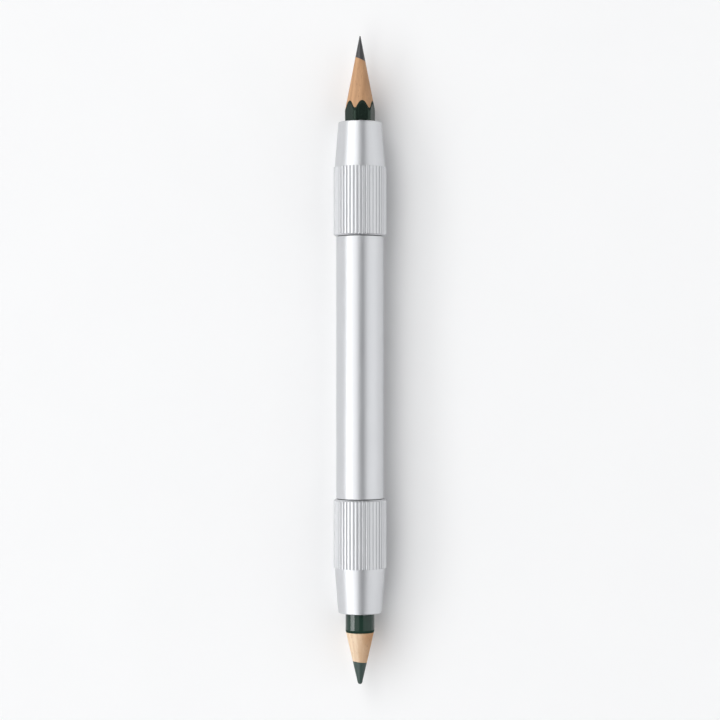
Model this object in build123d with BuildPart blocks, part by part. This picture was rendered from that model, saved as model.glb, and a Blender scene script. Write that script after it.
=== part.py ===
from build123d import *
import os
from dataclasses import dataclass
from math import cos, pi, radians, sin, tan

# Double-ended pencil extender: a plain tube with a threaded bush pressed into each end, a slotted
# collet in each bush, a knurled clamp nut over each collet, and a pencil stub in each collet.
# The axis is Y, with the hexagonal pencil at +Y. The origin is the middle of the barrel, on the axis.
# Along the axis, places are distances outwards from that middle, and the same at both ends.

# Lengths of the metal, from the middle outwards
metal_length = 100.0
nut_length = 23.2
knurl_length = 14.0
nut_gap = 0.1
press_length = 8.0
mouth_lip_length = 1.6
collet_body_length = 7.2
shoulder_gap = 0.5

# Pencils: across the flats and corner rounding of the hexagon, diameter of the round one
hex_sides = 6
hex_across_flats = 5.6
hex_corner_radius = 0.86
least_corner_radius = 0.2
hex_turn = 9.5
round_diameter = 5.9
coat_thickness = 0.1
graphite_diameter = 2.06
colour_lead_diameter = 2.92
hex_point_angle = 11.0
hex_point_radius = 0.12
hex_point_reach = 17.66
hex_stub_end = 7.7
round_point_angle = 13.0
round_point_radius = 0.5
round_point_reach = 14.6
round_stub_end = 9.6

# Clearances and walls, each counted on the radius, from the pencils outwards
grip_clearance = 0.05
pencil_room = 0.6
seat_clearance = 0.05
thread_clearance = 0.05
seat_depth = 0.5
bush_wall = 0.3
tube_wall = 0.35
nut_wall = 0.64
knurl_depth = 0.18
mouth_lip = 0.55
mouth_wall = 0.8
nose_step = 0.2

# Angle of the collet's seat from the axis
seat_angle = 20.0

# Collet slots and knurl teeth
slot_count = 4
slot_width = 0.6
slot_bridge = 1.6
knurl_count = 42

# Broken edges
edge_break = 0.15
mouth_break = 0.3

# How far a cutting shape runs past the piece that it cuts, and how many tooth heights a groove is drawn
overshoot = 1.0
groove_heights = 3.0

# Radii worked out from the pencils outwards
hex_corner = (hex_across_flats / 2 - hex_corner_radius) / cos(pi / hex_sides) + hex_corner_radius
clear_radius = max(hex_corner, round_diameter / 2) + pencil_room
collet_tip_radius = clear_radius - seat_clearance
collet_radius = collet_tip_radius + seat_depth
chamber_radius = collet_radius + seat_clearance
bush_radius = chamber_radius + bush_wall
barrel_radius = bush_radius + tube_wall
nut_bore_radius = bush_radius + thread_clearance
knurl_root_radius = nut_bore_radius + nut_wall
knurl_radius = knurl_root_radius + knurl_depth
nose_radius = knurl_radius - nose_step
mouth_bore_radius = chamber_radius - mouth_lip
mouth_radius = mouth_bore_radius + mouth_wall

# Places along the axis
mouth = metal_length / 2
nut_rear = mouth - nut_length
nose_base = nut_rear + knurl_length
tube_end = nut_rear - nut_gap
lip_foot = mouth - mouth_lip_length
collet_front = lip_foot - seat_clearance
bush_front = collet_front - collet_body_length
collet_rear = bush_front - seat_depth / tan(radians(seat_angle))


@dataclass(frozen=True)
class End:
    """One end of the extender.

    On the profile plane x is the radius and y the distance from the barrel's middle.
    The section plane is square to the axis and faces outwards.
    """

    name: str
    profile: Plane
    section: Plane


@dataclass(frozen=True)
class Point:
    """A sharpened pencil point: its half angle, the size of its tip and its reach out of the mouth."""

    half_angle: float
    tip_radius: float
    reach: float
    blunt: bool


upper = End("upper", Plane.XY, Plane((0, 0, 0), x_dir=(1, 0, 0), z_dir=(0, 1, 0)))
lower = End("lower", Plane((0, 0, 0), x_dir=(1, 0, 0), z_dir=(0, 0, -1)), Plane.XZ)

hex_point = Point(hex_point_angle, hex_point_radius, hex_point_reach, blunt=False)
round_point = Point(round_point_angle, round_point_radius, round_point_reach, blunt=True)


def save(part, name):
    """Label a finished piece and write it to its own file."""
    part.label = name
    export_step(part, f"parts/{name}.step")


def barrel_tube():
    """The plain tube between the two nuts, with its end edges broken."""
    with BuildPart() as tube:
        with BuildSketch(upper.section.offset(-tube_end)):
            Circle(barrel_radius)
            Circle(bush_radius, mode=Mode.SUBTRACT)
        extrude(amount=2 * tube_end)
        outer_edges = tube.edges().filter_by(GeomType.CIRCLE).group_by(SortBy.RADIUS)[-1]
        chamfer(outer_edges, min(edge_break, tube_wall / 2))
    save(tube.part, "barrel_tube")


def thread_bush(end):
    """A sleeve pressed into the tube: it carries the nut outside and has the collet's conical seat inside."""
    bush_rear = tube_end - press_length
    with BuildPart() as bush:
        with BuildSketch(end.profile):
            with BuildLine():
                Polyline(
                    (clear_radius, bush_rear),
                    (bush_radius, bush_rear),
                    (bush_radius, bush_front),
                    (chamber_radius, bush_front),
                    (clear_radius, collet_rear),
                    close=True,
                )
            make_face()
        revolve(axis=Axis.Y)
    save(bush.part, f"{end.name}_thread_bush")


def clamp_nut(end):
    """A clamp nut turned in one piece: straight-knurled grip, conical nose and a lip that pushes the collet."""
    chamber_foot = bush_front + shoulder_gap
    blank_radius = knurl_radius + knurl_depth
    chamfer_foot = knurl_root_radius - edge_break
    lip_break = min(mouth_break, mouth_wall / 2)
    half_pitch = pi / knurl_count
    crest_rise = knurl_radius * cos(half_pitch) - knurl_root_radius
    crest_side = knurl_radius * sin(half_pitch)
    with BuildPart() as nut:
        with BuildSketch(end.profile):
            with BuildLine():
                Polyline(
                    (nut_bore_radius, nut_rear),
                    (chamfer_foot, nut_rear),
                    (blank_radius, nut_rear + blank_radius - chamfer_foot),
                    (blank_radius, nose_base),
                    (nose_radius, nose_base),
                    (mouth_radius, mouth - lip_break),
                    (mouth_radius - lip_break, mouth),
                    (mouth_bore_radius, mouth),
                    (mouth_bore_radius, lip_foot),
                    (chamber_radius, lip_foot),
                    (chamber_radius, chamber_foot),
                    (nut_bore_radius, chamber_foot),
                    close=True,
                )
            make_face()
        revolve(axis=Axis.Y)
        with BuildSketch(end.section.offset(nut_rear - overshoot)):
            with PolarLocations(knurl_root_radius, knurl_count):
                Polygon(
                    (0, 0),
                    (groove_heights * crest_rise, -groove_heights * crest_side),
                    (groove_heights * crest_rise, groove_heights * crest_side),
                    align=None,
                )
        extrude(amount=knurl_length + overshoot, mode=Mode.SUBTRACT)
    save(nut.part, f"{end.name}_clamp_nut")


def collet(end, pencil_radius):
    """A collet that the nut pushes into the bush: tapered at its inner end and slotted into fingers there."""
    bore_radius = pencil_radius + grip_clearance
    slot_length = collet_front - collet_rear - slot_bridge
    with BuildPart() as sleeve:
        with BuildSketch(end.profile):
            with BuildLine():
                Polyline(
                    (bore_radius, collet_rear),
                    (collet_tip_radius, collet_rear),
                    (collet_radius, bush_front),
                    (collet_radius, collet_front),
                    (bore_radius, collet_front),
                    close=True,
                )
            make_face()
        revolve(axis=Axis.Y)
        with BuildSketch(end.section.offset(collet_rear - overshoot)):
            with PolarLocations(0, slot_count):
                Rectangle(collet_radius + overshoot, slot_width, align=(Align.MIN, Align.CENTER))
        extrude(amount=slot_length + overshoot, mode=Mode.SUBTRACT)
    save(sleeve.part, f"{end.name}_collet")


def sharpener_cone(end, point, stub_end):
    """The space that a sharpened pencil keeps: a cone from the stub's inner end, rounded at a blunt tip."""
    slope = radians(point.half_angle)
    tip = mouth + point.reach
    apex = tip + point.tip_radius * (1 / sin(slope) - 1)
    back = stub_end - overshoot
    tip_edge = (point.tip_radius * cos(slope), tip - point.tip_radius * (1 - sin(slope)))
    with BuildPart() as cone:
        with BuildSketch(end.profile):
            with BuildLine():
                Polyline((0, tip), (0, back), ((apex - back) * tan(slope), back), tip_edge)
                if point.blunt:
                    TangentArc(tip_edge, (0, tip), tangent=(-sin(slope), cos(slope)))
                else:
                    Line(tip_edge, (0, tip))
            make_face()
        revolve(axis=Axis.Y)
    return cone.part


def hexagon(inset):
    """The pencil's rounded hexagon, drawn in from its outside by an even inset."""
    RegularPolygon(hex_across_flats / 2 - inset, hex_sides, major_radius=False, rotation=hex_turn)
    fillet(vertices(), max(hex_corner_radius - inset, least_corner_radius))


def hex_coat():
    """The lacquer on the hexagonal pencil. The cone leaves its scalloped edge."""
    with BuildPart() as coat:
        with BuildSketch(upper.section.offset(hex_stub_end)):
            hexagon(0)
        extrude(amount=mouth + hex_point_reach - hex_stub_end)
        with BuildSketch(upper.section.offset(hex_stub_end)):
            hexagon(coat_thickness)
        extrude(amount=mouth + hex_point_reach - hex_stub_end, mode=Mode.SUBTRACT)
        add(hex_cone, mode=Mode.INTERSECT)
    save(coat.part, "hex_coat")


def hex_slat(name, kept_side):
    """One of the two glued slats of the hexagonal pencil, grooved for the lead and split at two corners."""
    with BuildPart() as slat:
        with BuildSketch(upper.section.offset(hex_stub_end)):
            hexagon(coat_thickness)
        extrude(amount=mouth + hex_point_reach - hex_stub_end)
        with BuildSketch(upper.section.offset(hex_stub_end)):
            Circle(graphite_diameter / 2)
        extrude(amount=mouth + hex_point_reach - hex_stub_end, mode=Mode.SUBTRACT)
        add(hex_cone, mode=Mode.INTERSECT)
        split(bisect_by=Plane.XY.rotated((0, hex_turn, 0)), keep=kept_side)
    save(slat.part, name)


def round_coat():
    """The lacquer on the round pencil, cut straight across by the cone."""
    with BuildPart() as coat:
        with BuildSketch(lower.section.offset(round_stub_end)):
            Circle(round_diameter / 2)
            Circle(round_diameter / 2 - coat_thickness, mode=Mode.SUBTRACT)
        extrude(amount=mouth + round_point_reach - round_stub_end)
        add(round_cone, mode=Mode.INTERSECT)
    save(coat.part, "round_coat")


def round_slat(name, kept_side):
    """One of the two glued slats of the round pencil, grooved for the lead."""
    with BuildPart() as slat:
        with BuildSketch(lower.section.offset(round_stub_end)):
            Circle(round_diameter / 2 - coat_thickness)
            Circle(colour_lead_diameter / 2, mode=Mode.SUBTRACT)
        extrude(amount=mouth + round_point_reach - round_stub_end)
        add(round_cone, mode=Mode.INTERSECT)
        split(bisect_by=Plane.XY, keep=kept_side)
    save(slat.part, name)


def lead(name, end, diameter, point, stub_end, cone):
    """A pencil's core, sharpened with the wood round it."""
    with BuildPart() as core:
        with BuildSketch(end.section.offset(stub_end)):
            Circle(diameter / 2)
        extrude(amount=mouth + point.reach - stub_end)
        add(cone, mode=Mode.INTERSECT)
    save(core.part, name)


os.makedirs("parts", exist_ok=True)

# Metal parts and collets
barrel_tube()
for extender_end, gripped_radius in ((upper, hex_corner), (lower, round_diameter / 2)):
    thread_bush(extender_end)
    clamp_nut(extender_end)
    collet(extender_end, gripped_radius)

# Hexagonal pencil, upper end
hex_cone = sharpener_cone(upper, hex_point, hex_stub_end)
hex_coat()
hex_slat("hex_slat_front", Keep.TOP)
hex_slat("hex_slat_back", Keep.BOTTOM)
lead("graphite_lead", upper, graphite_diameter, hex_point, hex_stub_end, hex_cone)

# Round pencil, lower end
round_cone = sharpener_cone(lower, round_point, round_stub_end)
round_coat()
round_slat("round_slat_front", Keep.TOP)
round_slat("round_slat_back", Keep.BOTTOM)
lead("colour_lead", lower, colour_lead_diameter, round_point, round_stub_end, round_cone)
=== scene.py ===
"""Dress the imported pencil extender: fine meshes, finishes, studio light and camera.

The extender's sizes are in millimetres and become metres where its meshes are made. The studio's sizes
are in metres, apart from the camera's sensor. Along the axis a place is counted outwards from the barrel's
middle, at both ends.
"""

import logging
import math
from dataclasses import dataclass, replace
from enum import Enum
from functools import cached_property
from typing import Callable, Mapping, Sequence

import bmesh
import bpy
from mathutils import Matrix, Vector


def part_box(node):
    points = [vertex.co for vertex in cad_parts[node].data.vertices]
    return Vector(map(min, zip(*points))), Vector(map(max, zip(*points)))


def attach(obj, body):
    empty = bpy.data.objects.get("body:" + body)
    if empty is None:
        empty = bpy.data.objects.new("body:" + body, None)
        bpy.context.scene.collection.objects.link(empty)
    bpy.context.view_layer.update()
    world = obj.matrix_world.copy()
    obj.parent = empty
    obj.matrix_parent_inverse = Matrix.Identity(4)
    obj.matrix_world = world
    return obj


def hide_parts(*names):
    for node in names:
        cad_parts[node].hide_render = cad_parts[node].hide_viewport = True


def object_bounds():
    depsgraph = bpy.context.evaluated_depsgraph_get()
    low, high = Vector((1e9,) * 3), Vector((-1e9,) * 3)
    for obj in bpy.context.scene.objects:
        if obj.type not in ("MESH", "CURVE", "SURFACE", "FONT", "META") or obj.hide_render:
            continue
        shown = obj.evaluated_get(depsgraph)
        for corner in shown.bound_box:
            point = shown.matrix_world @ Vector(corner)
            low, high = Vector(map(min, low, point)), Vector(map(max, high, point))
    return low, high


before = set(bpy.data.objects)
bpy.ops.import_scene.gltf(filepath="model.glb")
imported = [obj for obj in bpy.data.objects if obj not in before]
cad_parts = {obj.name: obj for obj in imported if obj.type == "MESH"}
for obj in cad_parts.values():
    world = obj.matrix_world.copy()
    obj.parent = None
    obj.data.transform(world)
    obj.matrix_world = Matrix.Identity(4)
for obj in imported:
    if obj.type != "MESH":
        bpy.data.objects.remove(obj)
cad_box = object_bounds()

MM = 0.001
SHARP_BEND = 30.0
log = logging.getLogger("extender")

Triple = tuple[float, float, float]
Colour = Triple
Pair = tuple[float, float]
Numbers = Sequence[float]
Trim = Callable[[float, float, float], float]
Material = bpy.types.Material
Piece = bpy.types.Object
Socket = bpy.types.NodeSocket


class Named(Enum):
    """Options whose names are words in the names of pieces."""

    @property
    def word(self) -> str:
        """The option's name as the pieces have it."""
        return self.name.lower()


class Side(Named):
    """The two ends of the extender, each with its outward direction along Y."""

    UPPER = 1.0
    LOWER = -1.0


class Half(Named):
    """The two glued slats of a stub, each with the angle past the glue line at which it starts."""

    FRONT = math.pi
    BACK = 0.0


@dataclass(frozen=True)
class Pattern:
    """A noise pattern between 0 and 1, and what it adds to a finish where it is 1.

    Attributes:
        across: Waves to the millimetre across the extender's axis.
        along: Waves to the millimetre along the axis.
        detail: How many finer layers of waves lie on the first.
        fade: The noise values between which a patchy pattern rises from 0 to 1.
        tone: The share of the other colour that it adds.
        rough: The roughness that it adds.
    """

    across: float
    along: float
    detail: float = 3.0
    fade: Pair | None = None
    tone: float = 0.0
    rough: float = 0.0


class Lines(Enum):
    """Which way the fine lines of a metal run: along a drawn tube or round a turned piece."""

    DRAWN = Pattern(across=5.0, along=0.075, tone=0.3, rough=0.06)
    TURNED = Pattern(across=0.2, along=5.0, tone=0.3, rough=0.06)


class Wire:
    """A shader value that takes part in Python arithmetic, with one Math node for each operation."""

    def __init__(self, recipe: "Recipe", socket: Socket) -> None:
        """Keep the output socket that carries the value, and the recipe that it belongs to."""
        self.recipe = recipe
        self.socket = socket

    def __add__(self, other: "Wire | float") -> "Wire":
        """Add."""
        return self.recipe.math("ADD", self, other)

    def __radd__(self, other: float) -> "Wire":
        """Add, with the number first."""
        return self.recipe.math("ADD", other, self)

    def __sub__(self, other: "Wire | float") -> "Wire":
        """Take away."""
        return self.recipe.math("SUBTRACT", self, other)

    def __rsub__(self, other: float) -> "Wire":
        """Take this value away from a number."""
        return self.recipe.math("SUBTRACT", other, self)

    def __mul__(self, other: "Wire | float") -> "Wire":
        """Multiply."""
        return self.recipe.math("MULTIPLY", self, other)

    def __rmul__(self, other: float) -> "Wire":
        """Multiply, with the number first."""
        return self.recipe.math("MULTIPLY", other, self)


Value = Wire | float
Weave = tuple[list[Wire], Value, Value]


class Recipe:
    """Adds the nodes of one material."""

    # A Mix node has sockets for each type of data. These are for the share, two colours and their mix
    MIX_SETTINGS = {"data_type": "RGBA", "clamp_factor": True}
    MIX_INPUTS = (0, 6, 7)
    MIX_OUTPUT = 2

    def __init__(self, material: Material) -> None:
        """Start from the Principled shader of a material that uses nodes."""
        self.tree = material.node_tree
        self.shader = self.tree.nodes["Principled BSDF"]

    def node(
        self,
        kind: str,
        settings: Mapping[str, object] | None = None,
        inputs: Mapping[str | int, object] | None = None,
        output: str | int = 0,
    ) -> Wire:
        """Add any node.

        Args:
            kind: The node's type.
            settings: Attributes of the node, set first.
            inputs: Values or wires for its sockets, by name or number.
            output: The output socket to hand back.

        Returns:
            The chosen output as a wire.
        """
        made = self.tree.nodes.new(kind)
        for name, value in (settings or {}).items():
            setattr(made, name, value)
        for key, value in (inputs or {}).items():
            self.feed(made.inputs[key], value)
        return Wire(self, made.outputs[output])

    def feed(self, socket: Socket, value: object) -> None:
        """Give a socket a wire or a plain value.

        Args:
            socket: The input socket.
            value: A wire, or a value that the socket takes.
        """
        if isinstance(value, Wire):
            self.tree.links.new(value.socket, socket)
        elif isinstance(value, tuple) and len(value) == 3 and socket.type == "RGBA":
            socket.default_value = (*value, 1.0)
        else:
            socket.default_value = value

    def math(self, operation: str, first: Value, second: Value = 0.0) -> Wire:
        """Add a Math node and return its value."""
        return self.node("ShaderNodeMath", {"operation": operation}, {0: first, 1: second})

    def vector(self, operation: str, first: Wire, second: Triple) -> Wire:
        """Add a Vector Math node and return its vector."""
        return self.node("ShaderNodeVectorMath", {"operation": operation}, {0: first, 1: second})

    def mix(self, share: Value, first: Wire | Colour, second: Wire | Colour) -> Wire:
        """Mix two colours by a share of the second and return the colour."""
        inputs = dict(zip(self.MIX_INPUTS, (share, first, second)))
        return self.node("ShaderNodeMix", self.MIX_SETTINGS, inputs, self.MIX_OUTPUT)

    def smooth(self, value: Wire, low: float, high: float) -> Wire:
        """A smooth step from 0 at one value to 1 at another."""
        settings = {"interpolation_type": "SMOOTHSTEP"}
        return self.node("ShaderNodeMapRange", settings, {"Value": value, "From Min": low, "From Max": high})

    def place(self) -> Wire:
        """The point on the piece in millimetres, as a vector."""
        point = self.node("ShaderNodeTexCoord", output="Object")
        return self.vector("MULTIPLY", point, (1 / MM,) * 3)

    def parts(self, vector: Wire) -> tuple[Wire, Wire, Wire]:
        """The X, Y and Z parts of a vector."""
        split = self.node("ShaderNodeSeparateXYZ", None, {0: vector}).socket.node
        return tuple(Wire(self, output) for output in split.outputs)

    def radius(self, vector: Wire) -> Wire:
        """The distance of a point from the extender's axis."""
        across, _, height = self.parts(vector)
        return self.math("SQRT", across * across + height * height)

    def noise(self, place: Wire, pattern: Pattern) -> Wire:
        """Lay a noise pattern over the surface.

        Args:
            place: The point on the piece, in millimetres.
            pattern: The pattern to lay.

        Returns:
            A value between 0 and 1.
        """
        waves = self.vector("MULTIPLY", place, (pattern.across, pattern.along, pattern.across))
        inputs = {"Vector": waves, "Scale": 1.0, "Detail": pattern.detail}
        value = self.node("ShaderNodeTexNoise", None, inputs)
        return value if pattern.fade is None else self.smooth(value, *pattern.fade)

    def weave(self, place: Wire, patterns: Sequence[Pattern], tone: Value, rough: Value) -> Weave:
        """Lay patterns over the surface, and add up what they do to it.

        Args:
            place: The point on the piece, in millimetres.
            patterns: The patterns to lay.
            tone: The share of the other colour without them.
            rough: The roughness without them.

        Returns:
            The patterns' values, then the tone and the roughness with them.
        """
        values = [self.noise(place, pattern) for pattern in patterns]
        for value, pattern in zip(values, patterns):
            tone = tone + pattern.tone * value if pattern.tone else tone
            rough = rough + pattern.rough * value if pattern.rough else rough
        return values, tone, rough

    def bump(self, height: Wire, depth: float, below: Wire | None = None) -> Wire:
        """A normal from a height pattern.

        Args:
            height: The pattern, between 0 and 1.
            depth: How deep the pattern goes, in millimetres.
            below: Another normal that this one is laid on.

        Returns:
            The normal.
        """
        inputs: dict[str | int, object] = {"Height": height, "Distance": depth * MM, "Strength": 1.0}
        if below is not None:
            inputs["Normal"] = below
        return self.node("ShaderNodeBump", None, inputs)

    def surface(self, sockets: Mapping[str, object]) -> None:
        """Feed the Principled shader's sockets by name."""
        for name, value in sockets.items():
            self.feed(self.shader.inputs[name], value)


@dataclass(frozen=True)
class Span:
    """How far a CAD node reaches: its radius, and the places of its inner and outer ends."""

    radius: float
    inner: float
    outer: float

    @classmethod
    def of(cls, node: str, side: Side) -> "Span":
        """Read a node's reach from the frame.

        Args:
            node: The CAD node.
            side: The end that its places are counted towards.

        Returns:
            The reach in millimetres.
        """
        low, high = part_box(node)
        inner, outer = sorted((side.value * low.y / MM, side.value * high.y / MM))
        return cls(max(high.x - low.x, high.z - low.z) / 2 / MM, inner, outer)


@dataclass(frozen=True)
class Cone:
    """The cone that a sharpener cuts on one pencil, with its rounded tip."""

    side: Side
    tip: float
    half_angle: float
    tip_radius: float

    @property
    def slope(self) -> float:
        """The half angle in radians."""
        return math.radians(self.half_angle)

    @property
    def apex(self) -> float:
        """Where the cone would end without its rounded tip."""
        return self.tip + self.tip_radius * (1 / math.sin(self.slope) - 1)

    @property
    def run(self) -> float:
        """How far the cone runs along the axis for each unit of radius."""
        return 1 / math.tan(self.slope)

    def place(self, radius: float) -> float:
        """Where the cone has a given radius."""
        return self.apex - radius * self.run


@dataclass(frozen=True)
class Finish:
    """A finish, made into a material of the same name. Its patterns add to its tone and roughness."""

    name: str

    def material(self) -> Material:
        """Make the material and mix its nodes.

        Returns:
            The new material.
        """
        made = bpy.data.materials.new(self.name)
        made.use_nodes = True
        self.blend(Recipe(made))
        return made

    def blend(self, recipe: Recipe) -> None:
        """Mix the nodes of this finish."""
        raise NotImplementedError


@dataclass(frozen=True)
class SatinMetal(Finish):
    """Satin aluminium: a fine blasted grain, faint lines, slight smears, and dark soil with painted shade in
    any grooves.
    """

    tint: Colour = (0.685, 0.694, 0.711)
    shade: Colour = (0.6165, 0.6246, 0.6399)
    soil: Colour = (0.3, 0.3, 0.31)
    tone: float = 0.2
    roughness: float = 0.29
    grain: Pattern = Pattern(11.0, 11.0, tone=0.3, rough=0.08)
    lines: Lines = Lines.DRAWN
    smears: Pattern = Pattern(0.45, 0.162, rough=0.08)
    depth: float = 0.0011
    grooves: Pair | None = None
    groove_fade: float = 0.015
    soil_share: float = 0.25
    soil_rough: float = 0.10

    def blend(self, recipe: Recipe) -> None:
        """Mix the nodes of this finish.

        Args:
            recipe: The material's recipe.
        """
        place = recipe.place()
        patterns = (self.grain, self.lines.value, self.smears)
        (grain, lines, _), tone, rough = recipe.weave(place, patterns, self.tone, self.roughness)
        colour = recipe.mix(tone, self.shade, self.tint)
        # Dark soil and painted shade in the knurl's grooves: the colour there is drawn towards the soil
        # colour and the roughness rises
        if self.grooves is not None:
            root, crest = self.grooves
            radius = recipe.radius(place)
            past_root = recipe.smooth(radius, root - self.groove_fade, root)
            groove_soil_and_shade = past_root * (1 - recipe.smooth(radius, root, crest))
            colour = recipe.mix(self.soil_share * groove_soil_and_shade, colour, self.soil)
            rough = rough + self.soil_rough * groove_soil_and_shade
        normal = recipe.bump(0.5 * (grain + lines), self.depth)
        recipe.surface({"Base Color": colour, "Roughness": rough, "Metallic": 1.0, "Normal": normal})


@dataclass(frozen=True)
class TurnedBrass(Finish):
    """Brass as turned, slightly dulled, with dark soil and painted shade at the thread's foot where the tube
    ends.
    """

    tube_end: float
    bright: Colour = (0.80, 0.58, 0.27)
    dull: Colour = (0.50, 0.34, 0.15)
    soil: Colour = (0.10, 0.095, 0.09)
    roughness: float = 0.20
    cuts: Pattern = Pattern(0.24, 6.0, rough=0.08)
    tarnish: Pattern = Pattern(0.7, 0.7, detail=4.0, fade=(0.35, 0.75), rough=0.14)
    depth: float = 0.0015
    soil_fade: Pair = (0.1, 0.3)
    soil_cover: float = 0.9
    soil_rough: float = 0.35

    def blend(self, recipe: Recipe) -> None:
        """Mix the nodes of this finish.

        Args:
            recipe: The material's recipe.
        """
        place = recipe.place()
        patterns = (self.cuts, self.tarnish)
        (cuts, tarnish), _, clean_rough = recipe.weave(place, patterns, 0.0, self.roughness)
        _, along, _ = recipe.parts(place)
        # Dark soil and painted shade: the thread darkens, roughens and loses its metal sheen next to the
        # tube's end, in the gap under the nut
        soiled_and_shaded = 1 - recipe.smooth(recipe.math("ABSOLUTE", along) - self.tube_end, *self.soil_fade)
        colour = recipe.mix(soiled_and_shaded, recipe.mix(tarnish, self.bright, self.dull), self.soil)
        rough = clean_rough + self.soil_rough * soiled_and_shaded
        metal = 1 - self.soil_cover * soiled_and_shaded
        normal = recipe.bump(cuts, self.depth)
        recipe.surface({"Base Color": colour, "Roughness": rough, "Metallic": metal, "Normal": normal})


@dataclass(frozen=True)
class MouldedPlastic(Finish):
    """Matte moulded plastic with a fine spark-eroded texture."""

    tint: Colour = (0.022, 0.022, 0.024)
    worn: Colour = (0.045, 0.045, 0.047)
    roughness: float = 0.42
    texture: Pattern = Pattern(8.0, 8.0, tone=0.3, rough=0.16)
    wear: Pattern = Pattern(0.8, 0.8, detail=4.0, fade=(0.45, 0.8), tone=0.6, rough=-0.1)
    depth: float = 0.008

    def blend(self, recipe: Recipe) -> None:
        """Mix the nodes of this finish.

        Args:
            recipe: The material's recipe.
        """
        place = recipe.place()
        patterns = (self.texture, self.wear)
        (texture, _), tone, rough = recipe.weave(place, patterns, 0.0, self.roughness)
        colour = recipe.mix(tone, self.tint, self.worn)
        normal = recipe.bump(texture, self.depth)
        recipe.surface({"Base Color": colour, "Roughness": rough, "Normal": normal})


@dataclass(frozen=True)
class Lacquer(Finish):
    """Gloss lacquer on a pencil: slight orange peel, fine rubbing and a dull edge where the cone cuts it."""

    cone: Cone
    tint: Colour = (0.0035, 0.0075, 0.0055)
    pale: Colour = (0.007, 0.0135, 0.010)
    gloss_tint: Colour = (0.70, 1.0, 0.80)
    roughness: float = 0.22
    specular: float = 0.44
    coat: float = 0.0
    coat_roughness: float = 0.05
    coat_wear: float = 0.5
    cloud: Pattern = Pattern(0.35, 0.35, tone=0.5, rough=0.08)
    rubbing: Pattern = Pattern(6.0, 0.18, fade=(0.55, 0.8), tone=0.4, rough=0.14)
    peel: Pattern = Pattern(1.6, 0.8, detail=2.0)
    peel_depth: float = 0.0025
    cut_fade: Pair = (0.05, 0.15)
    cut_roughness: float = 0.75

    def blend(self, recipe: Recipe) -> None:
        """Mix the nodes of this finish.

        Args:
            recipe: The material's recipe.
        """
        place = recipe.place()
        patterns = (self.cloud, self.rubbing)
        (_, rubbing), tone, polish = recipe.weave(place, patterns, 0.0, self.roughness)
        _, along, _ = recipe.parts(place)
        past_cone = self.cone.side.value * along + self.cone.run * recipe.radius(place) - self.cone.apex
        uncut = recipe.smooth(recipe.math("ABSOLUTE", past_cone), *self.cut_fade)
        rough = self.cut_roughness + uncut * (polish - self.cut_roughness)
        normal = recipe.bump(recipe.noise(place, self.peel), self.peel_depth)
        colour = recipe.mix(uncut * tone, self.tint, self.pale)
        recipe.surface({"Base Color": colour, "Roughness": rough, "Normal": normal})
        recipe.surface({"Specular IOR Level": self.specular, "Specular Tint": self.gloss_tint})
        if self.coat:
            weight = self.coat * uncut * (1 - self.coat_wear * rubbing)
            recipe.surface({"Coat Weight": weight, "Coat Roughness": self.coat_roughness})


@dataclass(frozen=True)
class SharpenedWood(Finish):
    """Pencil cedar cut by a sharpener: growth rings, streaks, pores, the blade's cuts, and a darker heart
    towards +X that is also painted shade.
    """

    light: Colour = (0.60, 0.345, 0.182)
    dark: Colour = (0.38, 0.20, 0.092)
    pore: Colour = (0.17, 0.085, 0.04)
    heart: Colour = (0.40, 0.215, 0.105)
    heart_share: float = 0.45
    start: float = 0.0
    tone: float = -0.035
    roughness: float = 0.52
    streaks: Pattern = Pattern(3.2, 0.16, detail=4.0, tone=0.75, rough=0.2)
    pores: Pattern = Pattern(5.5, 0.495, detail=2.0, fade=(0.62, 0.74), rough=0.1)
    cuts: Pattern = Pattern(0.14, 3.5, tone=0.12)
    sway: Pattern = Pattern(0.5, 0.025, detail=2.0)
    ring_rates: Pair = (4.16, 3.12)
    ring_sway: float = 7.0
    ring_tone: float = 0.175
    heart_fade: Pair = (-0.75, 3.75)
    heart_sway: float = 1.5
    cut_depth: float = 0.012
    streak_depth: float = 0.02
    pore_share: float = 0.5
    pore_depth: float = 0.6

    def blend(self, recipe: Recipe) -> None:
        """Mix the nodes of this finish.

        Args:
            recipe: The material's recipe.
        """
        place = recipe.vector("ADD", recipe.place(), (self.start,) * 3)
        patterns = (self.streaks, self.pores, self.cuts)
        (streaks, pores, cuts), tone, rough = recipe.weave(place, patterns, self.tone, self.roughness)
        sway = recipe.noise(place, self.sway)
        across, _, height = recipe.parts(place)
        across_rate, height_rate = self.ring_rates
        rings = recipe.math("SINE", across_rate * across + height_rate * height + self.ring_sway * sway)
        sap = recipe.mix(tone + self.ring_tone * rings, self.light, self.dark)
        # Painted shade given as heartwood: the wood darkens towards +X, the side away from the lamps,
        # whichever way its grain runs
        sideways = across - self.start
        shaded_heart = recipe.smooth(sideways + self.heart_sway * sway, *self.heart_fade)
        body = recipe.mix(self.heart_share * shaded_heart, sap, self.heart)
        colour = recipe.mix(self.pore_share * pores, body, self.pore)
        ridges = recipe.bump(cuts, self.cut_depth)
        normal = recipe.bump(streaks - self.pore_depth * pores, self.streak_depth, ridges)
        recipe.surface({"Base Color": colour, "Roughness": rough, "Normal": normal})


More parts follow.
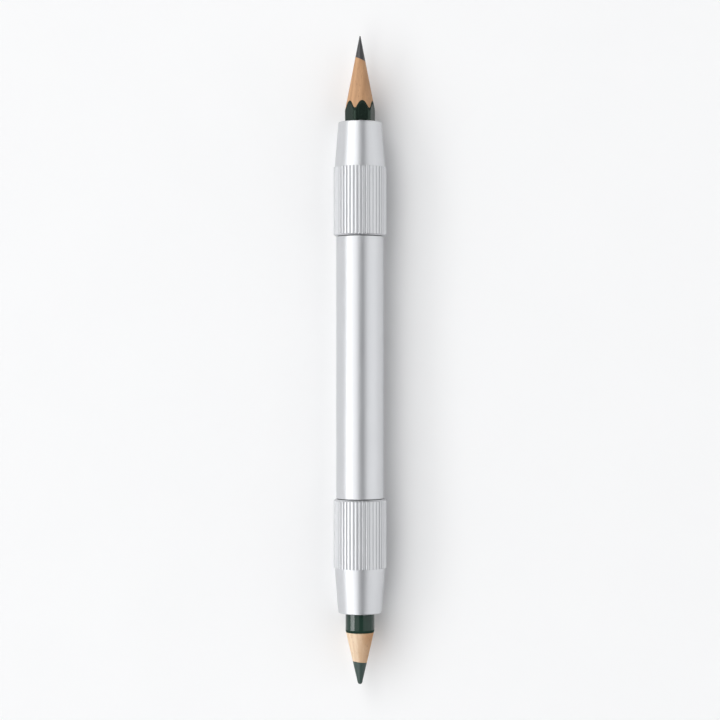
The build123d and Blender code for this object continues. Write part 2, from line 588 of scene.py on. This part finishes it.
@dataclass(frozen=True)
class Core(Finish):
    """A pencil core cut by a sharpener: the blade's cuts over a fine-grained body."""

    light: Colour = (0.095, 0.095, 0.098)
    dark: Colour = (0.036, 0.036, 0.038)
    metallic: float = 0.0
    roughness: float = 0.245
    cuts: Pattern = Pattern(0.2, 5.0, tone=0.3, rough=0.15)
    grain: Pattern = Pattern(6.0, 6.0, detail=4.0, tone=0.4, rough=0.2)
    cloud: Pattern = Pattern(0.9, 0.9, tone=0.3)
    depth: float = 0.008
    cut_share: float = 0.7

    def blend(self, recipe: Recipe) -> None:
        """Mix the nodes of this finish.

        Args:
            recipe: The material's recipe.
        """
        place = recipe.place()
        patterns = (self.cuts, self.grain, self.cloud)
        (cuts, grain, _), tone, rough = recipe.weave(place, patterns, 0.0, self.roughness)
        normal = recipe.bump(self.cut_share * cuts + (1 - self.cut_share) * grain, self.depth)
        recipe.surface({"Base Color": recipe.mix(tone, self.dark, self.light), "Roughness": rough})
        recipe.surface({"Metallic": self.metallic, "Normal": normal})


@dataclass(frozen=True)
class PaleFloor(Finish):
    """A pale matte table top with hardly any tone of its own."""

    tint: Colour = (0.94, 0.94, 0.94)
    shade: Colour = (0.92, 0.92, 0.92)
    roughness: float = 0.85
    cloud: Pattern = Pattern(0.05, 0.05, detail=4.0)

    def blend(self, recipe: Recipe) -> None:
        """Mix the nodes of this finish."""
        colour = recipe.mix(recipe.noise(recipe.place(), self.cloud), self.shade, self.tint)
        recipe.surface({"Base Color": colour, "Roughness": self.roughness})


@dataclass(frozen=True)
class Corner:
    """A corner of a turned outline, with its rounding."""

    radius: float
    place: float
    rounding: float = 0.0

    @property
    def point(self) -> Vector:
        """The corner as a flat vector of radius and place."""
        return Vector((self.radius, self.place))


class Outline:
    """A closed turned outline with rounded corners. Points near the ends of long runs keep them flat."""

    ARC_STEPS = 6
    HOLD = 0.03
    LONG_RUN = 0.18

    def __init__(self, *corners: Corner) -> None:
        """Keep the corners in order."""
        self.corners = corners

    def points(self) -> list[Pair]:
        """Round the corners and hold the long runs.

        Returns:
            The outline's points as radius and place.
        """
        bends = [self._bend(index) for index in range(len(self.corners))]
        found: list[Vector] = []
        for bend, following in zip(bends, [*bends[1:], bends[0]]):
            found += bend + self._holds(bend[-1], following[0])
        return [(point.x, point.y) for point in found]

    def _bend(self, index: int) -> list[Vector]:
        """Round one corner with an arc that touches both of its runs.

        Args:
            index: The corner's number.

        Returns:
            The arc's points, or the corner itself where it has no rounding.
        """
        corner = self.corners[index]
        here = corner.point
        if corner.rounding == 0:
            return [here]
        back = (self.corners[index - 1].point - here).normalized()
        ahead = (self.corners[(index + 1) % len(self.corners)].point - here).normalized()
        half = back.angle(ahead) / 2
        centre = here + (back + ahead).normalized() * corner.rounding / math.sin(half)
        first = here + back * corner.rounding / math.tan(half) - centre
        turn = first.angle_signed(here + ahead * corner.rounding / math.tan(half) - centre)
        steps = range(self.ARC_STEPS + 1)
        return [centre + turned_by(first, -turn * step / self.ARC_STEPS) for step in steps]

    def _holds(self, start: Vector, end: Vector) -> list[Vector]:
        """Find the points just inside both ends of a long run.

        Args:
            start: Where the run starts.
            end: Where it ends.

        Returns:
            The two points, or none where the run is short.
        """
        run = end - start
        if run.length < self.LONG_RUN:
            return []
        inset = run.normalized() * self.HOLD
        return [start + inset, end - inset]


def turned_by(arm: Vector, angle: float) -> Vector:
    """A flat vector turned by an angle, anticlockwise."""
    cosine, sine = math.cos(angle), math.sin(angle)
    return Vector((arm.x * cosine - arm.y * sine, arm.x * sine + arm.y * cosine))


def spread(count: int, start: float = 0.0) -> list[float]:
    """Angles spread evenly round the circle from a first one."""
    return [start + math.tau * step / count for step in range(count)]


def spot(angle: float, radius: float, along: float) -> Vector:
    """A point of the mesh in metres. The angle is counted from +X towards -Z, and along is Y."""
    return Vector((radius * math.cos(angle), along, -radius * math.sin(angle))) * MM


@dataclass(frozen=True)
class Skin:
    """A mesh woven from rings of points that all have the same count.

    Attributes:
        rings: The rings of points, in metres.
        around: Whether each ring closes on itself.
        through: Whether the last ring joins the first.
    """

    rings: Sequence[Sequence[Vector]]
    around: bool = True
    through: bool = True

    WELD = 1e-9

    def piece(self, name: str, sharp: float = SHARP_BEND) -> Piece:
        """Weave the mesh and put it into the scene.

        Args:
            name: The piece's name.
            sharp: Edges that bend by more than this many degrees stay sharp.

        Returns:
            The new object.
        """
        woven = bmesh.new()
        rows = [[woven.verts.new(point) for point in ring] for ring in self.rings]
        count, width = len(rows), len(rows[0])
        for row in range(count if self.through else count - 1):
            here, there = rows[row], rows[(row + 1) % count]
            for step in range(width if self.around else width - 1):
                ahead = (step + 1) % width
                woven.faces.new((here[step], here[ahead], there[ahead], there[step]))
        if not self.around:
            woven.faces.new([row[0] for row in rows])
            woven.faces.new([row[-1] for row in reversed(rows)])
        bmesh.ops.remove_doubles(woven, verts=woven.verts, dist=self.WELD)
        bmesh.ops.dissolve_degenerate(woven, edges=woven.edges, dist=self.WELD)
        bmesh.ops.recalc_face_normals(woven, faces=woven.faces)
        mesh = bpy.data.meshes.new(name)
        woven.to_mesh(mesh)
        woven.free()
        for polygon in mesh.polygons:
            polygon.use_smooth = True
        mesh.set_sharp_from_angle(angle=math.radians(sharp))
        return placed(name, mesh)


def placed(name: str, content: bpy.types.ID) -> Piece:
    """Put a mesh, lamp or camera into the scene.

    Args:
        name: The object's name.
        content: What the object holds.

    Returns:
        The new object.
    """
    made = bpy.data.objects.new(name, content)
    bpy.context.scene.collection.objects.link(made)
    return made


def lathe(outline: Outline, side: Side, angles: Numbers, trim: Trim | None = None) -> Skin:
    """Turn an outline round the axis.

    Args:
        outline: The outline to turn.
        side: The end that the outline's places are counted towards.
        angles: The angles of the points in each ring.
        trim: Gives a point's radius from its angle, radius and place, where the piece isn't round.

    Returns:
        The turned skin.
    """
    rings = []
    for radius, place in outline.points():
        radii = [trim(angle, radius, place) if trim else radius for angle in angles]
        rings.append([spot(angle, value, side.value * place) for angle, value in zip(angles, radii)])
    return Skin(rings)


def dress(piece: Piece, finish: Material, body: str, node: str) -> Piece:
    """Give a piece its finish, hang it on its CAD body's empty, and hide the CAD node that it stands for.

    Args:
        piece: The new piece, in place.
        finish: Its material.
        body: The CAD body that it moves with.
        node: The CAD node that it stands for.

    Returns:
        The same piece.
    """
    piece.data.materials.append(finish)
    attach(piece, body)
    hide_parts(node)
    return piece


@dataclass
class Barrel:
    """The plain drawn tube between the two nuts."""

    finish: Material
    wall: float = 0.35
    edge: float = 0.12
    points_round: int = 192

    def build(self) -> list[Piece]:
        """Make and dress the tube.

        Returns:
            The tube alone.
        """
        span = Span.of("barrel_tube", Side.UPPER)
        outer, inner = span.radius, span.radius - self.wall
        outline = Outline(
            Corner(inner, span.inner),
            Corner(outer, span.inner, self.edge),
            Corner(outer, span.outer, self.edge),
            Corner(inner, span.outer),
        )
        tube = lathe(outline, Side.UPPER, spread(self.points_round)).piece("drawn_tube")
        return [dress(tube, self.finish, "barrel", "barrel_tube")]


@dataclass
class Clamp:
    """One end's threaded bush, slotted collet and knurled nut."""

    side: Side
    nut_finish: Material
    bush_finish: Material
    collet_finish: Material
    collet_bore: float
    bush_bore: float = 3.70
    bush_grip: float = 8.0
    bush_edge: float = 0.1
    seat_radius: float = 4.20
    thread_pitch: float = 0.75
    thread_depth: float = 0.22
    thread_fade: float = 0.6
    thread_rows: int = 16
    thread_sharp: float = 50.0
    collet_tip: float = 3.65
    collet_tip_edge: float = 0.1
    collet_rim_edge: float = 0.15
    slot_width: float = 0.6
    slot_bridge: float = 1.6
    saw_reach: float = 1.0
    nut_bore: float = 4.55
    nut_bore_edge: float = 0.08
    shoulder_gap: float = 0.5
    knurl_length: float = 14.0
    knurl_depth: float = 0.18
    knurl_count: int = 42
    knurl_edge: float = 0.05
    knurl_sharp: float = 40.0
    chamfer: float = 0.33
    chamfer_rows: int = 8
    nose_step: float = 0.20
    mouth_radius: float = 4.426
    mouth_bore: float = 3.65
    mouth_edge: float = 0.22
    mouth_bore_edge: float = 0.15
    lip_length: float = 1.6
    points_round: int = 96

    # One tooth from the bottom of a groove to the next, as shares of the pitch and of the depth
    TOOTH = (
        (0.0, 0.0),
        (0.05, 0.06),
        (0.17, 0.86),
        (0.24, 1.0),
        (0.5, 1.0),
        (0.76, 1.0),
        (0.83, 0.86),
        (0.95, 0.06),
    )

    def build(self) -> list[Piece]:
        """Make and dress the three pieces of this end.

        Returns:
            The bush, the collet and the nut.
        """
        word = self.side.word
        bush, collet, nut = self._bush(), self._collet(), self._nut()
        return [
            dress(bush, self.bush_finish, "barrel", f"{word}_thread_bush"),
            dress(collet, self.collet_finish, f"{word}_collet_slider", f"{word}_collet"),
            dress(nut, self.nut_finish, f"{word}_nut", f"{word}_clamp_nut"),
        ]

    def _span(self, kind: str) -> Span:
        """The reach of this end's CAD node of one kind."""
        return Span.of(f"{self.side.word}_{kind}", self.side)

    def _bush(self) -> Piece:
        """Make the bush: a plain end pressed into the tube, then the thread.

        Returns:
            The new piece.
        """
        span = self._span("thread_bush")
        thread_start = span.inner + self.bush_grip
        rows = round((span.outer - thread_start) / self.thread_pitch * self.thread_rows)
        step = (span.outer - thread_start) / rows
        outline = Outline(
            Corner(self.bush_bore, span.inner),
            Corner(span.radius, span.inner, self.bush_edge),
            *[Corner(span.radius, thread_start + step * row) for row in range(rows)],
            Corner(span.radius, span.outer),
            Corner(self.seat_radius, span.outer),
            Corner(self.bush_bore, self._span("collet").inner),
        )

        def cut(angle: float, radius: float, place: float) -> float:
            """Cut the helical thread into the outside.

            Args:
                angle: The point's angle.
                radius: Its radius before the cut.
                place: Its place along the axis.

            Returns:
                The radius after the cut.
            """
            if radius < span.radius or place < thread_start:
                return radius
            from_end = min(place - thread_start, span.outer - place)
            fade = min(1.0, from_end / self.thread_fade)
            turns = self.side.value * angle / math.tau + place / self.thread_pitch
            groove = (1 - math.cos(math.tau * turns)) / 2
            return radius - self.thread_depth * fade * groove

        skin = lathe(outline, self.side, spread(self.points_round), cut)
        return skin.piece(f"{self.side.word}_threaded_bush", self.thread_sharp)

    def _collet(self) -> Piece:
        """Make the collet: a tapered sleeve with four slots cut from its inner end.

        Returns:
            The new piece.
        """
        span = self._span("collet")
        outline = Outline(
            Corner(self.collet_bore, span.inner, self.collet_tip_edge),
            Corner(self.collet_tip, span.inner, self.collet_tip_edge),
            Corner(span.radius, self._span("thread_bush").outer),
            Corner(span.radius, span.outer, self.collet_rim_edge),
            Corner(self.collet_bore, span.outer, self.collet_rim_edge),
        )
        skin = lathe(outline, self.side, spread(self.points_round))
        sleeve = skin.piece(f"{self.side.word}_slotted_collet")
        slot_ends = (span.inner - self.saw_reach, span.outer - self.slot_bridge)
        low, high = sorted(self.side.value * place for place in slot_ends)
        half_slot, reach = self.slot_width / 2, span.radius + self.saw_reach
        for across, up in ((reach, half_slot), (half_slot, reach)):
            self._saw(sleeve, Vector((-across, low, -up)), Vector((across, high, up)))
        return sleeve

    @staticmethod
    def _saw(sleeve: Piece, low: Vector, high: Vector) -> None:
        """Saw a straight slot right across a sleeve.

        Args:
            sleeve: The piece to cut.
            low: The lowest corner of the slot's box.
            high: Its highest corner.
        """
        blade = bmesh.new()
        bmesh.ops.create_cube(blade, size=1.0)
        for vertex in blade.verts:
            vertex.co = ((low + high) / 2 + vertex.co * (high - low)) * MM
        mesh = bpy.data.meshes.new("saw_blade")
        blade.to_mesh(mesh)
        blade.free()
        cutter = placed("saw_blade", mesh)
        slot = sleeve.modifiers.new("slot", "BOOLEAN")
        slot.operation = "DIFFERENCE"
        slot.solver = "EXACT"
        slot.object = cutter
        bpy.context.view_layer.update()
        shaped = sleeve.evaluated_get(bpy.context.evaluated_depsgraph_get())
        cut = bpy.data.meshes.new_from_object(shaped)
        sleeve.modifiers.clear()
        sleeve.data = cut
        cut.name = sleeve.name
        cut.set_sharp_from_angle(angle=math.radians(SHARP_BEND))
        bpy.data.objects.remove(cutter)

    def _nut(self) -> Piece:
        """Make the nut: a knurled grip, a smooth conical nose and a rounded mouth.

        Returns:
            The new piece.
        """
        span = self._span("clamp_nut")
        crest = span.radius
        nose_base = span.inner + self.knurl_length
        lip_foot = span.outer - self.lip_length
        seat_foot = self._span("thread_bush").outer + self.shoulder_gap
        slope = [step / self.chamfer_rows * self.chamfer for step in range(self.chamfer_rows + 1)]
        outline = Outline(
            Corner(self.nut_bore, span.inner, self.nut_bore_edge),
            *[Corner(crest - self.chamfer + rise, span.inner + rise) for rise in slope],
            Corner(crest, nose_base, self.knurl_edge),
            Corner(crest - self.nose_step, nose_base),
            Corner(self.mouth_radius, span.outer, self.mouth_edge),
            Corner(self.mouth_bore, span.outer, self.mouth_bore_edge),
            Corner(self.mouth_bore, lip_foot),
            Corner(self.seat_radius, lip_foot),
            Corner(self.seat_radius, seat_foot),
            Corner(self.nut_bore, seat_foot),
        )
        teeth = self._teeth(crest - self.knurl_depth)

        def knurl(angle: float, radius: float, place: float) -> float:
            """Cut the knurl's teeth into the grip."""
            return min(radius, teeth[angle]) if place <= nose_base else radius

        skin = lathe(outline, self.side, list(teeth), knurl)
        return skin.piece(f"{self.side.word}_knurled_nut", self.knurl_sharp)

    def _teeth(self, root: float) -> dict[float, float]:
        """Lay out the knurl tooth by tooth, from the bottom of a groove.

        Args:
            root: The radius of the grooves' bottoms.

        Returns:
            The knurl's radius at each of its angles.
        """
        pitch = math.tau / self.knurl_count
        return {
            (tooth + share) * pitch: root + self.knurl_depth * height
            for tooth in range(self.knurl_count)
            for share, height in self.TOOTH
        }


@dataclass
class Pencil:
    """A sharpened stub: lacquer coat, two glued slats of wood and a core, all cut by one cone.

    The split is the angle of its glue line in radians, and core_shift is how far its core lies off the
    middle along X.
    """

    word: str
    coat_finish: Material
    wood_finishes: Sequence[Material]
    core_finish: Material
    core_node: str
    core_slot: str
    cone: Cone
    split: float
    core_shift: float
    coat: float = 0.1
    sharp: float = 7.0
    half_points: int = 120
    cone_rings: int = 8
    tip_steps: int = 12

    def build(self) -> list[Piece]:
        """Make and dress the stub's four pieces.

        Returns:
            The coat, the two slats and the core.
        """
        body, word = f"{self.word}_pencil", self.word
        pieces = [dress(self._coat(), self.coat_finish, body, f"{word}_coat")]
        for half, finish in zip(Half, self.wood_finishes):
            slat = self._slat(f"{word}_wood_{half.word}", self.split + half.value)
            pieces.append(dress(slat, finish, body, f"{word}_slat_{half.word}"))
        pieces.append(dress(self._core(), self.core_finish, body, self.core_node))
        return pieces

    @cached_property
    def core(self) -> Span:
        """The CAD core's reach. Every piece of the stub ends at its inner end."""
        return Span.of(self.core_node, self.cone.side)

    def section(self, angle: float, inset: float) -> float:
        """The stub's radius at an angle, drawn in from its outside by an inset."""
        raise NotImplementedError

    def groove(self, angle: float) -> float:
        """The radius at an angle of the groove that the core lies in."""
        sideways = self.core_shift * math.sin(angle)
        return self.core_shift * math.cos(angle) + math.sqrt(self.core.radius**2 - sideways**2)

    def _ring(self, angles: Numbers, radii: Numbers, places: Numbers) -> list[Vector]:
        """One ring of points from its angles, radii and places."""
        along = [self.cone.side.value * place for place in places]
        return [spot(*point) for point in zip(angles, radii, along)]

    def _rear(self, angles: Numbers, radii: Numbers) -> list[Vector]:
        """A ring at the stub's inner end."""
        return self._ring(angles, radii, [self.core.inner] * len(angles))

    def _on_cone(self, angles: Numbers, radii: Numbers, inset: float = 0.0) -> list[Vector]:
        """A ring on the cone, or inwards of it by an inset along the axis."""
        return self._ring(angles, radii, [self.cone.place(radius) - inset for radius in radii])

    def _coat(self) -> Piece:
        """Make the lacquer, open at the rear and cut by the cone in front.

        Returns:
            The new piece.
        """
        angles = spread(2 * self.half_points, self.split)
        outside = [self.section(angle, 0.0) for angle in angles]
        inside = [self.section(angle, self.coat) for angle in angles]
        rings = [
            self._rear(angles, inside),
            self._rear(angles, outside),
            self._on_cone(angles, outside, Outline.HOLD),
            self._on_cone(angles, outside),
            self._on_cone(angles, inside),
        ]
        return Skin(rings).piece(f"{self.word}_lacquer_coat", self.sharp)

    def _slat(self, name: str, start: float) -> Piece:
        """Make one half of the wood, grooved for the core.

        Args:
            name: The piece's name.
            start: The angle at which this half starts.

        Returns:
            The new piece.
        """
        angles = [start + math.pi * step / self.half_points for step in range(self.half_points + 1)]
        outside = [self.section(angle, self.coat) for angle in angles]
        groove = [self.groove(angle) for angle in angles]
        rings = [self._rear(angles, groove), self._rear(angles, outside)]
        rings += self._cut(angles, outside, groove)
        return Skin(rings, around=False).piece(name, self.sharp)

    def _cut(self, angles: Numbers, outside: Numbers, inside: Numbers) -> list[list[Vector]]:
        """Lay the rings of the sharpened face, from one set of radii in to another.

        Args:
            angles: The angles of the points in each ring.
            outside: The radii where the face starts.
            inside: The radii where it ends.

        Returns:
            The rings, all on the cone.
        """
        rings = []
        for step in range(self.cone_rings + 1):
            share = step / self.cone_rings
            radii = [wide + (narrow - wide) * share for wide, narrow in zip(outside, inside)]
            rings.append(self._on_cone(angles, radii))
        return rings

    def _core(self) -> Piece:
        """Make the core, with its tip rounded.

        Returns:
            The new piece.
        """
        slope, ball = self.cone.slope, self.cone.tip_radius
        angles = spread(2 * self.half_points)
        groove = [self.groove(angle) for angle in angles]
        rings = [self._rear(angles, [0.0] * len(angles)), self._rear(angles, groove)]
        rings += self._cut(angles, groove, [ball * math.cos(slope)] * len(angles))
        for step in range(1, self.tip_steps + 1):
            bend = slope + (math.pi / 2 - slope) * step / self.tip_steps
            place = self.cone.tip - ball + ball * math.sin(bend)
            rings.append(self._ring(angles, [ball * math.cos(bend)] * len(angles), [place] * len(angles)))
        return Skin(rings, through=False).piece(f"{self.core_slot}_core", self.sharp)


@dataclass
class HexPencil(Pencil):
    """A hexagonal stub with rounded corners."""

    across_flats: float = 5.6
    corner_radius: float = 0.86

    def section(self, angle: float, inset: float) -> float:
        """Find the stub's radius on a flat or on a rounded corner.

        Args:
            angle: The angle, in radians.
            inset: How far the section is drawn in from the stub's outside.

        Returns:
            The radius at that angle.
        """
        apothem = self.across_flats / 2 - inset
        rounding = self.corner_radius - inset
        sector = math.pi / 3
        from_corner = abs((angle - self.split + sector / 2) % sector - sector / 2)
        from_flat = sector / 2 - from_corner
        arc_centre = (apothem - rounding) / math.cos(sector / 2)
        flat_end = math.atan2(arc_centre * math.sin(sector / 2), apothem)
        if from_flat <= flat_end:
            return apothem / math.cos(from_flat)
        sideways = arc_centre * math.sin(from_corner)
        return arc_centre * math.cos(from_corner) + math.sqrt(rounding**2 - sideways**2)


@dataclass
class RoundPencil(Pencil):
    """A round stub."""

    diameter: float = 5.9

    def section(self, angle: float, inset: float) -> float:
        """The stub's radius, the same at every angle."""
        return self.diameter / 2 - inset


@dataclass(frozen=True)
class Softbox:
    """A rectangular lamp in the direction of its aim. It faces the extender's middle.

    A slide moves the lamp, and with it the spot that it faces, along Y.
    """

    name: str
    aim: Triple
    distance: float
    width: float
    height: float
    radiance: float
    slide: float = 0.0

    def build(self) -> None:
        """Make the lamp."""
        lamp = bpy.data.lights.new(self.name, "AREA")
        lamp.shape = "RECTANGLE"
        lamp.size = self.width
        lamp.size_y = self.height
        lamp.energy = self.radiance * math.pi * self.width * self.height
        holder = placed(self.name, lamp)
        direction = Vector(self.aim).normalized()
        holder.location = direction * self.distance + Vector((0.0, self.slide, 0.0))
        holder.rotation_mode = "QUATERNION"
        holder.rotation_quaternion = direction.to_track_quat("Z", "Y")


@dataclass
class Studio:
    """The pale floor, the soft lamps, the room's own light and the camera."""

    floor_finish: Material
    floor_size: float = 60.0
    room_light: Colour = (0.17, 0.174, 0.182)
    camera_height: float = 0.4
    nearest_view: float = 0.01
    sensor: float = 36.0
    fill: float = 0.9

    LAMPS = (
        Softbox("key_left", (-0.578, 0.08, 0.812), distance=2.8, width=4.8, height=3.2, radiance=1.14),
        Softbox("low_left", (-0.978, 0.0, 0.208), distance=2.88, width=4.8, height=1.16, radiance=0.43),
        Softbox("edge_left", (-0.839, 0.0, 0.545), distance=2.72, width=4.8, height=0.54, radiance=1.80),
        Softbox(
            "glint_left",
            (-0.889, 0.0, 0.459),
            distance=2.8,
            width=0.075,
            height=1.9,
            radiance=8.5,
            slide=-0.44,
        ),
        Softbox("fill_right", (0.843, 0.0, 0.537), distance=2.8, width=3.0, height=3.5, radiance=1.0),
        Softbox("far_end", (-0.36, 0.66, 0.66), distance=3.6, width=1.68, height=1.68, radiance=3.1),
        Softbox("near_end", (-0.36, -0.66, 0.66), distance=3.6, width=1.68, height=1.68, radiance=2.4),
    )

    def build(self) -> None:
        """Make the floor, lamps, room and camera."""
        low, high = cad_box
        self._floor(low.z)
        for lamp in self.LAMPS:
            lamp.build()
        world = bpy.data.worlds.new("studio_room")
        world.use_nodes = True
        world.node_tree.nodes["Background"].inputs["Color"].default_value = (*self.room_light, 1.0)
        bpy.context.scene.world = world
        bpy.context.scene.view_settings.view_transform = "Standard"
        self._camera((low.y + high.y) / 2, high.y - low.y)

    def _floor(self, height: float) -> None:
        """Make the floor.

        Args:
            height: The height of the extender's lowest point, in metres.
        """
        mesh = bpy.data.meshes.new("table_top")
        half = self.floor_size / 2
        ends = ((-half, -half), (half, -half), (half, half), (-half, half))
        mesh.from_pydata([(*end, height) for end in ends], [], [range(len(ends))])
        floor = placed("table_top", mesh)
        floor.data.materials.append(self.floor_finish)

    def _camera(self, middle: float, length: float) -> None:
        """Look straight down on the extender, with its upper end at the top of the picture.

        Args:
            middle: Where the extender's middle is along Y, in metres.
            length: The extender's length, in metres.
        """
        eye = bpy.data.cameras.new("overhead")
        eye.sensor_width = self.sensor
        eye.lens = self.sensor * self.camera_height * self.fill / length
        eye.clip_start = self.nearest_view
        holder = placed("overhead", eye)
        holder.location = (0.0, middle, self.camera_height)
        bpy.context.scene.camera = holder


def slat_woods(wood: SharpenedWood, starts: Pair) -> list[Material]:
    """A wood for the front slat and one for the back slat, whose grain starts in different places."""
    pairs = zip(Half, starts)
    return [replace(wood, name=f"{wood.name}_{half.word}", start=start).material() for half, start in pairs]


def clamps() -> list[Clamp]:
    """Choose the finishes and bores of the two clamps.

    Returns:
        The upper and the lower clamp.
    """
    crest = Span.of("upper_clamp_nut", Side.UPPER).radius
    grooves = (crest - Clamp.knurl_depth, crest)
    metal = SatinMetal("nut_satin", lines=Lines.TURNED, grooves=grooves).material()
    brass = TurnedBrass("turned_brass", Span.of("barrel_tube", Side.UPPER).outer).material()
    plastic = MouldedPlastic("moulded_black").material()
    collet_bores = {Side.UPPER: 3.15, Side.LOWER: 3.00}
    return [Clamp(side, metal, brass, plastic, bore) for side, bore in collet_bores.items()]


def hex_pencil() -> HexPencil:
    """Choose the cone and finishes of the hexagonal graphite pencil.

    Returns:
        The upper end's stub.
    """
    tip = Span.of("graphite_lead", Side.UPPER).outer
    cone = Cone(Side.UPPER, tip, half_angle=11.0, tip_radius=0.12)
    return HexPencil(
        word="hex",
        coat_finish=Lacquer("hex_green", cone).material(),
        wood_finishes=slat_woods(SharpenedWood("cedar"), starts=(0.0, 11.0)),
        core_finish=Core("graphite_cut", metallic=0.35).material(),
        core_node="graphite_lead",
        core_slot="graphite",
        cone=cone,
        split=math.radians(9.5),
        core_shift=0.085,
    )


def round_pencil() -> RoundPencil:
    """Choose the cone and finishes of the round coloured pencil.

    Returns:
        The lower end's stub.
    """
    tip = Span.of("colour_lead", Side.LOWER).outer
    cone = Cone(Side.LOWER, tip, half_angle=13.0, tip_radius=0.5)
    lacquer = Lacquer(
        "round_green",
        cone,
        tint=(0.012, 0.032, 0.022),
        pale=(0.018, 0.046, 0.032),
        gloss_tint=(0.85, 1.0, 0.97),
        roughness=0.16,
        specular=0.10,
        coat=0.5,
    )
    wood = SharpenedWood(
        "pale_cedar",
        light=(0.86, 0.68, 0.49),
        dark=(0.64, 0.43, 0.27),
        # A strong darker heart that is also painted shade on the +X side of the pale cedar
        heart=(0.44, 0.19, 0.05),
        heart_share=0.85,
    )
    return RoundPencil(
        word="round",
        coat_finish=lacquer.material(),
        wood_finishes=slat_woods(wood, starts=(23.0, 37.0)),
        core_finish=Core("green_wax", light=(0.05, 0.085, 0.072), dark=(0.022, 0.042, 0.036)).material(),
        core_node="colour_lead",
        core_slot="green_lead",
        cone=cone,
        split=0.0,
        core_shift=-0.04,
    )


def main() -> None:
    """Build every sub-assembly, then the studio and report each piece."""
    logging.basicConfig(level=logging.INFO, format="%(name)s: %(message)s")
    log.info("dressing %d nodes", len(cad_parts))
    barrel = Barrel(SatinMetal("barrel_satin").material())
    for assembly in (barrel, *clamps(), hex_pencil(), round_pencil()):
        for piece in assembly.build():
            log.info("%s is in place", piece.name)
    Studio(PaleFloor("pale_table").material()).build()


if __name__ == "__main__":
    main()
